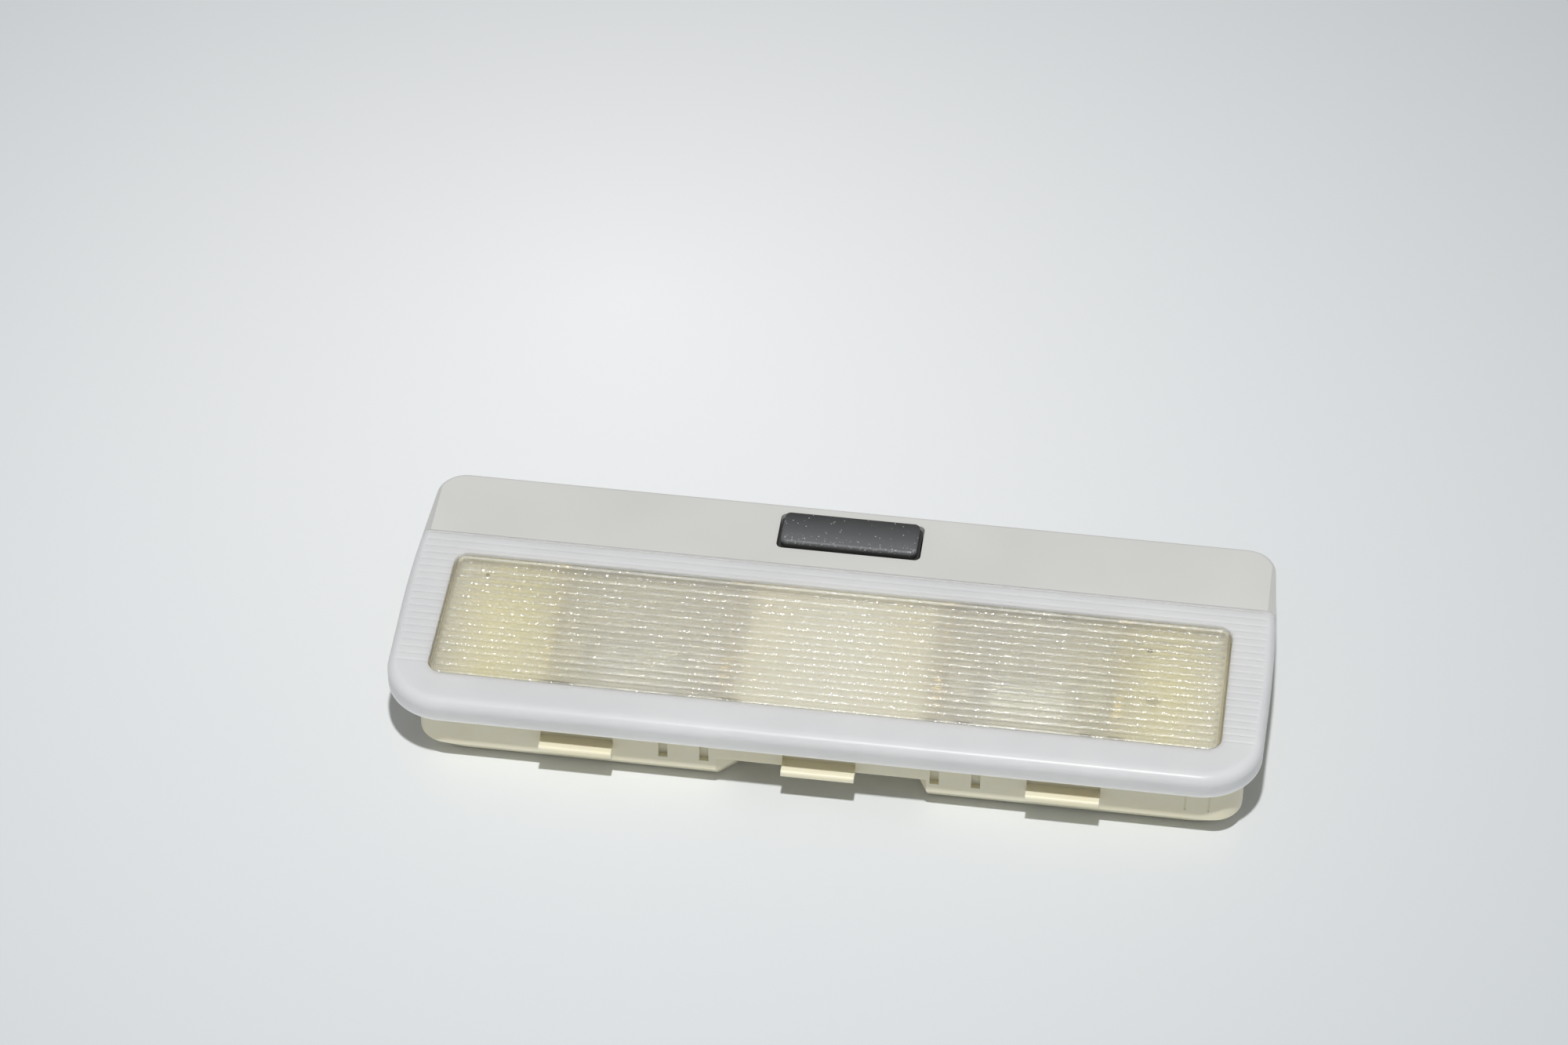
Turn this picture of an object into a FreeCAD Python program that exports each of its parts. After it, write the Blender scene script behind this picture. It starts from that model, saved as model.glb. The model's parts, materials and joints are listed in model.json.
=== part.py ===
"""Car interior light: a clip-in roof lamp with two festoon bulbs and a push button.

X runs along the lamp, -Y is the lens edge, +Y the switch edge and +Z points out of the lens.
The origin is under the middle of the rim, on the plane of the tub floors.
"""
import FreeCAD
import Part
import Sketcher
import math
import os
import re
from FreeCAD import Vector

# Driving sizes, in millimetres
SIZES = {
    # Rim, shared by the lens and the switch panel
    "bow_length": 169.1,
    "rim_depth": 63.1,
    "rear_narrowing": 1.9,
    "front_narrowing": 0.85,
    "bow_position": 6.0,
    "bow_radius": 250.0,
    "rear_corner_radius": 5.8,
    "front_corner_radius": 11.7,
    "seat_height": 14.2,
    "skirt_height": 4.8,
    "skirt_wall": 1.4,
    # Lens
    "lens_plate": 2.2,
    "lens_edge_radius": 2.1,
    "window_side_bar": 8.55,
    "window_front_bar": 8.15,
    "window_margin": 5.35,
    "window_corner_radius": 3.0,
    "window_clearance": 0.3,
    "window_plate": 1.7,
    "window_flange_width": 1.0,
    "window_flange_height": 0.8,
    "flange_clearance": 0.2,
    "rib_pitch": 1.84,
    "rib_height": 0.35,
    "rib_apex": 0.49,
    "rib_radius": 1.1,
    "rib_margin": 1.2,
    "groove_width": 0.7,
    "groove_depth": 0.16,
    "groove_margin": 0.6,
    "lug_length": 5.0,
    "lug_reach": 0.8,
    "lug_height": 0.9,
    "lug_drop": 0.9,
    "snap_gap": 0.1,
    # Switch panel: the split is measured from the rear edge, and what lies behind it from the split
    "split_position": 16.85,
    "panel_drop": 0.2,
    "panel_facet_inset": 2.35,
    "panel_facet_fall": 0.9,
    "panel_edge_radius": 0.9,
    "ledge_height": 1.8,
    "ledge_overlap": 1.8,
    "ledge_end_gap": 0.4,
    "collar_wall": 1.0,
    "collar_drop": 3.6,
    # Base housing
    "base_left_gap": 7.0,
    "base_right_gap": 3.65,
    "base_shift": 0.5,
    "base_setback": 3.0,
    "base_corner_radius": 5.8,
    "base_wall": 1.6,
    "rebate_depth": 0.3,
    "tray_height": 8.2,
    "tray_floor": 1.8,
    "partition_setback": 0.6,
    "tub_gap": 33.0,
    "left_corner_reach": 3.4,
    "left_corner_depth": 3.1,
    "right_corner_reach": 4.1,
    "right_corner_depth": 7.9,
    "tub_edge_height": 5.0,
    "tub_slope_inset": 4.0,
    "tub_floor": 1.6,
    "hook_length": 14.0,
    "hook_spacing": 46.65,
    "hook_reach": 2.7,
    "hook_height": 9.25,
    "hook_thickness": 1.4,
    "hook_nose_radius": 0.6,
    "hook_recess_height": 4.4,
    "hook_recess_depth": 0.8,
    "slot_width": 1.75,
    "slot_bottom": 7.2,
    "slot_inner_position": 22.1,
    "slot_outer_position": 30.0,
    "slot_depth": 1.1,
    "seam_width": 0.3,
    "seam_depth": 0.15,
    "seam_position": 10.8,
    "seam_spacing": 4.5,
    # Bulbs, their contacts and the reflectors
    "bulb_length": 36.0,
    "bulb_position": 37.8,
    "bulb_height": 8.9,
    "glass_diameter": 10.5,
    "glass_length": 25.0,
    "glass_wall": 0.6,
    "neck_diameter": 7.4,
    "neck_length": 2.4,
    "shoulder_length": 2.4,
    "cap_wall": 0.4,
    "cap_clearance": 0.05,
    "cap_grip": 2.0,
    "cap_cone_length": 2.6,
    "cap_tip_diameter": 2.4,
    "cap_end_wall": 1.0,
    "filament_wire": 0.4,
    "filament_coil": 1.0,
    "filament_coil_length": 9.0,
    "sheet_thickness": 0.5,
    "contact_width": 8.4,
    "contact_grip": 1.1,
    "contact_seat_gap": 0.08,
    "contact_corner_radius": 2.0,
    "arm_lift": 0.8,
    "arm_height": 2.0,
    "notch_clearance": 0.3,
    "holder_width": 3.4,
    "holder_length": 9.6,
    "holder_height": 2.4,
    "holder_clearance": 0.05,
    "reflector_length": 38.9,
    "reflector_clearance": 0.6,
    "reflector_height": 7.9,
    "reflector_bend_radius": 1.4,
    # Busbars and connector
    "strip_width": 2.0,
    "strip_gap": 0.8,
    "strip_offset": 0.3,
    "blade_width": 2.8,
    "blade_length": 7.4,
    "blade_clearance": 0.2,
    "blade_spacing": 5.0,
    "connector_position": 32.0,
    "connector_length": 17.8,
    "connector_wall": 1.6,
    "connector_rear": 11.3,
    "connector_front_gap": 0.8,
    "connector_lift": 0.8,
    # Push switch
    "button_length": 26.8,
    "button_depth": 8.6,
    "button_shift": -0.27,
    "button_position": 9.35,
    "button_rise": 1.6,
    "button_crown": 0.35,
    "button_crown_radius": 23.0,
    "button_corner_radius": 1.2,
    "button_edge_radius": 0.8,
    "button_travel": 1.8,
    "button_wall": 1.4,
    "button_roof": 1.5,
    "skirt_lip": 0.5,
    "skirt_lip_side": 0.2,
    "skirt_lip_height": 2.8,
    "skirt_lip_sink": 0.5,
    "opening_clearance": 0.3,
    "latch_width": 4.0,
    "latch_reach": 0.8,
    "latch_height": 0.6,
    "latch_gap": 0.1,
    "plunger_length": 10.0,
    "plunger_depth": 6.4,
    "plunger_drop": 2.1,
    "stem_setback": 8.7,
    "stem_diameter": 3.6,
    "stem_length": 7.6,
    "stem_clearance": 0.05,
    "bridge_length": 18.4,
    "bridge_width": 6.4,
    "bridge_thickness": 0.4,
    "contact_position": 7.5,
    "contact_strip_width": 3.0,
    "contact_strip_length": 6.0,
    "contact_pad_diameter": 2.4,
    "contact_end_gap": 0.05,
    "spring_diameter": 5.8,
    "spring_wire": 0.5,
    "spring_turns": 4.5,
    "spring_pocket_depth": 2.0,
    "spring_pocket_clearance": 0.35,
    "well_length": 27.0,
    "well_front": 1.9,
    "well_bottom": 2.0,
    "carrier_clearance": 0.3,
    "carrier_corner_radius": 0.6,
    # Rear retaining clips
    "clip_width": 10.0,
    "clip_top": 13.6,
    "clip_bottom": 6.6,
    "clip_reach": 2.6,
    "clip_bend_radius": 1.3,
    "clip_inner_bend_radius": 0.87,
    "clip_crest": 10.6,
    "clip_tip_reach": 1.6,
    "clip_tip_drop": 0.6,
    "clip_foot": 1.1,
    "peg_diameter": 2.4,
    "peg_height": 11.4,
    "peg_length": 0.8,
    "peg_clearance": 0.1,
}

# Places worked out from the driving sizes, as expressions
LENS_TOP = "(seat_height + skirt_height)"
PLATE_UNDERSIDE = f"({LENS_TOP} - lens_plate)"
PANEL_TOP = f"({LENS_TOP} - panel_drop)"
LEDGE_BOTTOM = f"({PLATE_UNDERSIDE} - ledge_height)"
COLLAR_BOTTOM = f"({PLATE_UNDERSIDE} - collar_drop)"
LUG_TOP = f"({PLATE_UNDERSIDE} - lug_drop)"
LUG_BOTTOM = f"({LUG_TOP} - lug_height)"
SPLIT = "(rim_depth / 2 - split_position)"
WINDOW_HALF_LENGTH = "(bow_length / 2 - window_side_bar)"
FLANGE_HALF_LENGTH = f"({WINDOW_HALF_LENGTH} - window_clearance + window_flange_width)"
WINDOW_REAR = f"({SPLIT} - window_margin)"
WINDOW_FRONT = "(window_front_bar - rim_depth / 2)"
LAST_GROOVE = f"({SPLIT} - groove_margin)"
GROOVE_STEPS = f"floor(({LAST_GROOVE} - {WINDOW_FRONT} - rib_margin) / rib_pitch)"
FIRST_GROOVE = f"({LAST_GROOVE} - {GROOVE_STEPS} * rib_pitch)"
RIB_STEPS = f"(floor(({WINDOW_REAR} - rib_margin - {FIRST_GROOVE}) / rib_pitch) - 1)"
BULB_Y = f"(({WINDOW_REAR} + {WINDOW_FRONT}) / 2)"
BASE_FRONT = "(base_setback - rim_depth / 2)"
BASE_REAR = "(rim_depth / 2 - base_setback)"
BASE_LEFT = "(base_left_gap - bow_length / 2 - base_shift)"
BASE_RIGHT = "(bow_length / 2 - base_right_gap - base_shift)"
INNER_FRONT = f"({BASE_FRONT} + base_wall)"
INNER_REAR = f"({BASE_REAR} - base_wall)"
TRAY_TOP = "(tray_height + tray_floor)"
PARTITION_REAR = f"({SPLIT} - partition_setback)"
PARTITION_FRONT = f"({PARTITION_REAR} - base_wall)"
INNER_SLOPE = "(tub_slope_inset * (1 - tub_floor / tub_edge_height))"
STRIP_TOP = f"({TRAY_TOP} + sheet_thickness)"
ARM_BOTTOM = f"({STRIP_TOP} + arm_lift)"
ARM_TOP = f"({ARM_BOTTOM} + arm_height)"
SUPPLY_Y = f"({PARTITION_REAR} + strip_offset)"
EARTH_Y = f"({SUPPLY_Y} + strip_width + strip_gap)"
CAP_RADIUS = "(neck_diameter / 2 + cap_clearance + cap_wall)"
WELL_FRONT = f"({SPLIT} + well_front)"
WELL_FLOOR = "(well_bottom + base_wall)"
STEM_Y = f"({SPLIT} + stem_setback)"
BUTTON_Y = f"({SPLIT} + button_position)"
BUTTON_TOP = f"({PANEL_TOP} + button_rise)"
SKIRT_TOP = f"({PANEL_TOP} - skirt_lip_sink)"
SKIRT_BOTTOM = f"({SKIRT_TOP} - skirt_lip_height)"
PLUNGER_BOTTOM = f"({SKIRT_BOTTOM} - plunger_drop)"
BRIDGE_BOTTOM = f"({PLUNGER_BOTTOM} - bridge_thickness)"
SPRING_SEAT = f"({TRAY_TOP} - spring_pocket_depth)"
OPENING_HALF_LENGTH = "(button_length / 2 + skirt_lip + opening_clearance)"
OPENING_HALF_DEPTH = "(button_depth / 2 + skirt_lip_side + opening_clearance)"
CONTACT_LIFT = f"({BRIDGE_BOTTOM} - button_travel - contact_end_gap - {STRIP_TOP})"
CONNECTOR_FRONT = f"({PARTITION_REAR} + connector_front_gap)"
CONNECTOR_REAR = f"({SPLIT} + connector_rear)"

# Ways along X of the two sides and of a bulb's two ends, and the blades' places in the connector
SIDES = {"left": -1, "right": 1}
BASE_REACH = {"left": f"(-{BASE_LEFT})", "right": BASE_RIGHT}
ENDS = {"outer": 1, "inner": -1}
CONTACTS = [(side_name, end_name) for side_name in SIDES for end_name in ENDS]
BLADES = {
    "supply": ("(connector_position - blade_spacing)", f"({SUPPLY_Y} + strip_width / 2)"),
    "earth": ("connector_position", f"({EARTH_Y} + strip_width / 2)"),
    "signal": ("(connector_position + blade_spacing)", STEM_Y),
}
SMALLEST_CUT = 1e-4
EDGE_TOLERANCE = 0.01

doc = FreeCAD.newDocument("interior_light")
sheet = doc.addObject("Spreadsheet::Sheet", "sizes")
for row, (size_name, size) in enumerate(SIZES.items(), start=1):
    sheet.set(f"A{row}", size_name)
    sheet.set(f"B{row}", str(size))
    sheet.setAlias(f"B{row}", size_name)
doc.recompute()


def bound(text):
    """Return an expression with each size name pointing at its cell."""

    def cell(word):
        name = word.group()
        return f"sizes.{name}" if name in SIZES else name

    return re.sub(r"[a-z_]+", cell, text)


def number(text):
    """Return an expression's value in millimetres."""
    return float(sheet.evalExpression(bound(text)))


def rectangle(x_low, x_high, y_low, y_high, radius=None):
    """Return the corners of a rectangle, all with the same radius."""
    places = ((x_low, y_low), (x_high, y_low), (x_high, y_high), (x_low, y_high))
    return [(x, y, radius) for x, y in places]


def new_sketch(body, role, offset):
    """Add a sketch on one of the body's own origin planes, moved along its normal."""
    sketch = body.newObject("Sketcher::SketchObject", "Sketch")
    plane = next(f for f in body.Origin.OriginFeatures if f.Role == role)
    sketch.AttachmentSupport = [(plane, "")]
    sketch.MapMode = "FlatFace"
    sketch.setExpression("AttachmentOffset.Base.z", bound(offset))
    return sketch


def drive(sketch, kind, geometry, point, text):
    """Set a distance from the sketch's origin, driven by an expression."""
    index = sketch.addConstraint(Sketcher.Constraint(kind, -1, 1, geometry, point, number(text)))
    sketch.setExpression(f"Constraints[{index}]", bound(text))


def draw_outline(sketch, corners):
    """Draw a closed outline through corners (x, y, radius or None), each driven by the sheet."""
    corners = [(*corner, None)[:3] for corner in corners]
    points = [Vector(number(x), number(y), 0) for x, y, _ in corners]
    count = len(points)
    before = []
    after = []
    centres = []
    for i, (_, _, radius) in enumerate(corners):
        back = (points[i - 1] - points[i]).normalize()
        ahead = (points[(i + 1) % count] - points[i]).normalize()
        if radius is None:
            before.append(points[i])
            after.append(points[i])
            centres.append(None)
            continue
        half_angle = back.getAngle(ahead) / 2
        reach = number(radius) / math.tan(half_angle)
        before.append(points[i] + back * reach)
        after.append(points[i] + ahead * reach)
        middle = (back + ahead).normalize()
        centres.append(points[i] + middle * (number(radius) / math.sin(half_angle)))
    lines = []
    for i in range(count):
        segment = Part.LineSegment(after[i], before[(i + 1) % count])
        lines.append(sketch.addGeometry(segment, False))
    for i, (x, y, radius) in enumerate(corners):
        arriving = lines[i - 1]
        leaving = lines[i]
        if radius is None:
            sketch.addConstraint(Sketcher.Constraint("Coincident", arriving, 2, leaving, 1))
            drive(sketch, "DistanceX", leaving, 1, x)
            drive(sketch, "DistanceY", leaving, 1, y)
            continue
        incoming = points[i] - before[i]
        outgoing = after[i] - points[i]
        left_turn = incoming.cross(outgoing).z > 0
        first, last = (before[i], after[i]) if left_turn else (after[i], before[i])
        angles = [math.atan2(p.y - centres[i].y, p.x - centres[i].x) for p in (first, last)]
        circle = Part.Circle(centres[i], Vector(0, 0, 1), number(radius))
        arc = sketch.addGeometry(Part.ArcOfCircle(circle, *angles), False)
        corner = sketch.addGeometry(Part.Point(points[i]), True)
        near, far = (1, 2) if left_turn else (2, 1)
        sketch.addConstraint(Sketcher.Constraint("Tangent", arriving, 2, arc, near))
        sketch.addConstraint(Sketcher.Constraint("Tangent", leaving, 1, arc, far))
        sketch.addConstraint(Sketcher.Constraint("PointOnObject", corner, 1, arriving))
        sketch.addConstraint(Sketcher.Constraint("PointOnObject", corner, 1, leaving))
        drive(sketch, "DistanceX", corner, 1, x)
        drive(sketch, "DistanceY", corner, 1, y)
        index = sketch.addConstraint(Sketcher.Constraint("Radius", arc, number(radius)))
        sketch.setExpression(f"Constraints[{index}]", bound(radius))


def draw_circle(sketch, x, y, radius):
    """Draw a circle driven by the sheet."""
    circle = Part.Circle(Vector(number(x), number(y), 0), Vector(0, 0, 1), number(radius))
    index = sketch.addGeometry(circle, False)
    drive(sketch, "DistanceX", index, 3, x)
    drive(sketch, "DistanceY", index, 3, y)
    size = sketch.addConstraint(Sketcher.Constraint("Radius", index, number(radius)))
    sketch.setExpression(f"Constraints[{size}]", bound(radius))


def profile(body, role, offset, *outlines):
    """Add a sketch of closed outlines; a tuple (x, y, radius) of texts is a circle."""
    sketch = new_sketch(body, role, offset)
    for outline in outlines:
        if isinstance(outline, tuple):
            draw_circle(sketch, *outline)
        else:
            draw_outline(sketch, outline)
    return sketch


def pad(body, role, offset, outlines, length, back=False):
    """Raise outlines from a plane by a length."""
    feature = body.newObject("PartDesign::Pad", "Pad")
    feature.Profile = profile(body, role, offset, *outlines)
    feature.setExpression("Length", bound(length))
    feature.Reversed = back
    doc.recompute()
    return feature


def cut(body, role, offset, outlines, length, back=False):
    """Cut outlines against the plane's normal, or along it if back, and prove that it cut."""
    volume = body.Shape.Volume
    feature = body.newObject("PartDesign::Pocket", "Pocket")
    feature.Profile = profile(body, role, offset, *outlines)
    feature.setExpression("Length", bound(length))
    feature.Reversed = back
    doc.recompute()
    if feature.Shape.Volume > volume - SMALLEST_CUT:
        raise RuntimeError(f"{body.Label}: {feature.Label} cuts nothing")
    return feature


def loft(body, kind, sections):
    """Add or cut a straight-sided loft between outlines on horizontal planes."""
    sketches = [profile(body, "XY_Plane", height, outline) for height, outline in sections]
    feature = body.newObject(f"PartDesign::{kind}", kind)
    feature.Profile = sketches[0]
    feature.Sections = sketches[1:]
    feature.Ruled = True
    doc.recompute()
    return feature


def revolve(body, outline):
    """Turn an outline in the XY plane about the X axis."""
    feature = body.newObject("PartDesign::Revolution", "Revolution")
    feature.Profile = profile(body, "XY_Plane", "0", outline)
    feature.ReferenceAxis = (feature.Profile[0], ["H_Axis"])
    doc.recompute()
    return feature


def round_edges(body, radius, chosen):
    """Fillet the edges of the body's shape that a test chooses."""
    tip = body.Tip
    names = [f"Edge{i}" for i, edge in enumerate(tip.Shape.Edges, start=1) if chosen(edge)]
    feature = body.newObject("PartDesign::Fillet", "Fillet")
    feature.Base = (tip, names)
    feature.setExpression("Radius", bound(radius))
    doc.recompute()
    return feature


def repeat(body, feature, role, pitch, steps):
    """Repeat a feature along one of the body's own axes."""
    axis = next(f for f in body.Origin.OriginFeatures if f.Role == role)
    pattern = body.newObject("PartDesign::LinearPattern", "LinearPattern")
    pattern.Originals = [feature]
    pattern.Direction = (axis, [""])
    pattern.setExpression("Length", bound(f"{pitch} * {steps}"))
    pattern.setExpression("Occurrences", bound(f"{steps} + 1"))
    body.Tip = pattern
    doc.recompute()
    return pattern


def new_body(name, x="0", y="0", z="0"):
    """Start a sub-part, placed by expressions."""
    body = doc.addObject("PartDesign::Body", name)
    body.Label = name
    for axis, place in zip("xyz", (x, y, z)):
        body.setExpression(f"Placement.Base.{axis}", bound(place))
    return body


def rim_outline(inset):
    """Return the lamp's plan outline, with sides that bow out, drawn in by an inset."""
    rear = f"rim_depth / 2 - {inset}"
    front = f"{inset} - rim_depth / 2"
    bow_x = f"(bow_length / 2 - {inset})"
    rear_x = f"({bow_x} - rear_narrowing)"
    front_x = f"({bow_x} - front_narrowing)"
    return [
        (f"-{front_x}", front, f"front_corner_radius - {inset}"),
        (front_x, front, f"front_corner_radius - {inset}"),
        (bow_x, "bow_position", "bow_radius"),
        (rear_x, rear, f"rear_corner_radius - {inset}"),
        (f"-{rear_x}", rear, f"rear_corner_radius - {inset}"),
        (f"-{bow_x}", "bow_position", "bow_radius"),
    ]


def rim_shell(body, top, keep_rear):
    """Make a skirted plate of the rim's outline and keep the part on one side of the split."""
    pad(body, "XY_Plane", "seat_height", [rim_outline("0")], f"{top} - seat_height")
    hollow = f"{PLATE_UNDERSIDE} - seat_height"
    cut(body, "XY_Plane", "seat_height", [rim_outline("skirt_wall")], hollow, back=True)
    far = "-rim_depth" if keep_rear else "rim_depth"
    waste = rectangle("-bow_length", "bow_length", far, SPLIT)
    cut(body, "XY_Plane", top, [waste], f"{top} - seat_height")


def snap_places():
    """Return the X middles of the snaps on the base, between each pair of slots."""
    return [f"{side} * (slot_inner_position + slot_outer_position) / 2" for side in SIDES.values()]


def snap_beads(body, way):
    """Add beads inside the front (-1) or rear (1) skirt, which snap under the lugs of the base."""
    bead_top = f"({LUG_BOTTOM} - snap_gap)"
    skirt_face = "(rim_depth / 2 - skirt_wall)"
    beads = []
    for middle in snap_places():
        bead = rectangle(
            f"base_shift + {middle} - lug_length / 2",
            f"base_shift + {middle} + lug_length / 2",
            f"{way} * ({skirt_face} + skirt_wall / 2)",
            f"{way} * ({skirt_face} - lug_reach)",
        )
        beads.append(bead)
    pad(body, "XY_Plane", "seat_height", beads, f"{bead_top} - seat_height")


def lens_frame():
    body = new_body("lens_frame")
    rim_shell(body, LENS_TOP, keep_rear=False)
    top = number(LENS_TOP)
    split = number(SPLIT)

    def outer_top_edge(edge):
        box = edge.BoundBox
        flat_on_top = box.ZMin > top - EDGE_TOLERANCE
        return flat_on_top and box.YMin < split - EDGE_TOLERANCE

    round_edges(body, "lens_edge_radius", outer_top_edge)
    window = rectangle(
        f"-{WINDOW_HALF_LENGTH}", WINDOW_HALF_LENGTH, WINDOW_FRONT, WINDOW_REAR, "window_corner_radius"
    )
    cut(body, "XY_Plane", LENS_TOP, [window], "lens_plate")
    snap_beads(body, -1)
    # Shallow grooves that carry the window's ribs on over the rear and side bars
    groove = [
        (f"{FIRST_GROOVE} - groove_width / 2", LENS_TOP),
        (FIRST_GROOVE, f"{LENS_TOP} - groove_depth"),
        (f"{FIRST_GROOVE} + groove_width / 2", LENS_TOP),
    ]
    feature = cut(body, "YZ_Plane", "bow_length / 2", [groove], "bow_length")
    repeat(body, feature, "Y_Axis", "rib_pitch", GROOVE_STEPS)


def lens_window():
    body = new_body("lens_window")
    inset = "window_clearance"
    half_length = f"({WINDOW_HALF_LENGTH} - {inset})"
    flange = rectangle(
        f"-{FLANGE_HALF_LENGTH}",
        FLANGE_HALF_LENGTH,
        f"{WINDOW_FRONT} - window_flange_width",
        f"{WINDOW_REAR} + window_flange_width",
        "window_corner_radius + window_flange_width",
    )
    flange_bottom = f"({PLATE_UNDERSIDE} - window_flange_height)"
    pad(body, "XY_Plane", flange_bottom, [flange], "window_flange_height")
    pane = rectangle(
        f"-{half_length}",
        half_length,
        f"{WINDOW_FRONT} + {inset}",
        f"{WINDOW_REAR} - {inset}",
        f"window_corner_radius - {inset}",
    )
    pad(body, "XY_Plane", PLATE_UNDERSIDE, [pane], "window_plate")
    # Rounded ribs along the window, one drawn and the rest repeated
    rib_base = f"({PLATE_UNDERSIDE} + window_plate)"
    rib = [
        (FIRST_GROOVE, f"{rib_base} - rib_height"),
        (f"{FIRST_GROOVE} + rib_pitch", f"{rib_base} - rib_height"),
        (f"{FIRST_GROOVE} + rib_pitch", rib_base),
        (f"{FIRST_GROOVE} + rib_pitch / 2", f"{rib_base} + rib_apex", "rib_radius"),
        (FIRST_GROOVE, rib_base),
    ]
    rib_length = f"(2 * ({half_length} - rib_margin))"
    feature = pad(body, "YZ_Plane", f"-{rib_length} / 2", [rib], rib_length)
    repeat(body, feature, "Y_Axis", "rib_pitch", RIB_STEPS)


def switch_panel():
    body = new_body("switch_panel")
    rim_shell(body, PANEL_TOP, keep_rear=True)
    top = number(PANEL_TOP)
    split = number(SPLIT)

    def rear_top_edge(edge):
        box = edge.BoundBox
        flat_on_top = box.ZMin > top - EDGE_TOLERANCE
        return flat_on_top and box.YMax > split + EDGE_TOLERANCE

    round_edges(body, "panel_edge_radius", rear_top_edge)
    # Side facets that widen towards the lens as the outline bows out
    for side in SIDES.values():
        facet = [
            (f"{side} * (bow_length / 2 - panel_facet_inset)", PANEL_TOP),
            (f"{side} * bow_length / 2", PANEL_TOP),
            (f"{side} * bow_length / 2", f"{PANEL_TOP} - panel_facet_inset * panel_facet_fall"),
        ]
        cut(body, "XZ_Plane", f"-{SPLIT}", [facet], "split_position")
    # Ledge under the rear edge of the lens
    ledge_room = "(base_wall + ledge_end_gap)"
    ledge_ends = (f"base_shift + {BASE_LEFT} + {ledge_room}", f"base_shift + {BASE_RIGHT} - {ledge_room}")
    ledge = rectangle(*ledge_ends, PARTITION_FRONT, f"{SPLIT} + ledge_overlap")
    pad(body, "XY_Plane", LEDGE_BOTTOM, [ledge], "ledge_height")
    opening = rectangle(
        f"button_shift - {OPENING_HALF_LENGTH}",
        f"button_shift + {OPENING_HALF_LENGTH}",
        f"{BUTTON_Y} - {OPENING_HALF_DEPTH}",
        f"{BUTTON_Y} + {OPENING_HALF_DEPTH}",
        "button_corner_radius",
    )
    collar = rectangle(
        f"button_shift - {OPENING_HALF_LENGTH} - collar_wall",
        f"button_shift + {OPENING_HALF_LENGTH} + collar_wall",
        f"{BUTTON_Y} - {OPENING_HALF_DEPTH} - collar_wall",
        f"{BUTTON_Y} + {OPENING_HALF_DEPTH} + collar_wall",
        "button_corner_radius + collar_wall",
    )
    pad(body, "XY_Plane", COLLAR_BOTTOM, [collar], "collar_drop")
    cut(body, "XY_Plane", PANEL_TOP, [opening], f"{PANEL_TOP} - {COLLAR_BOTTOM}")
    snap_beads(body, 1)


def tub_outline(side_name, inset, slope):
    """Return a tub's plan outline, drawn in by a wall inset and, but for the inner end, a slope."""
    side = SIDES[side_name]
    inner = f"{side} * (tub_gap / 2 + {inset})"
    cut_inner = f"{side} * (tub_gap / 2 + {inset} + {side_name}_corner_reach)"
    outer = f"{side} * ({BASE_REACH[side_name]} - {inset} - {slope})"
    front = f"({BASE_FRONT} + {inset} + {slope})"
    rear = f"({PARTITION_REAR} - {inset} - {slope})"
    radius = f"base_corner_radius - {inset}"
    return [
        (cut_inner, front),
        (outer, front, radius),
        (outer, rear, radius),
        (inner, rear),
        (inner, f"{front} + {side_name}_corner_depth"),
    ]


def contact_place(side, end):
    """Return the X range of a bulb contact; end is 1 for the outer one and -1 for the inner one."""
    way = side * end
    near = f"({side} * bulb_position + {way} * (bulb_length / 2 - contact_grip))"
    far = f"({near} + {way} * sheet_thickness)"
    return (near, far) if way > 0 else (far, near)


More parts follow.
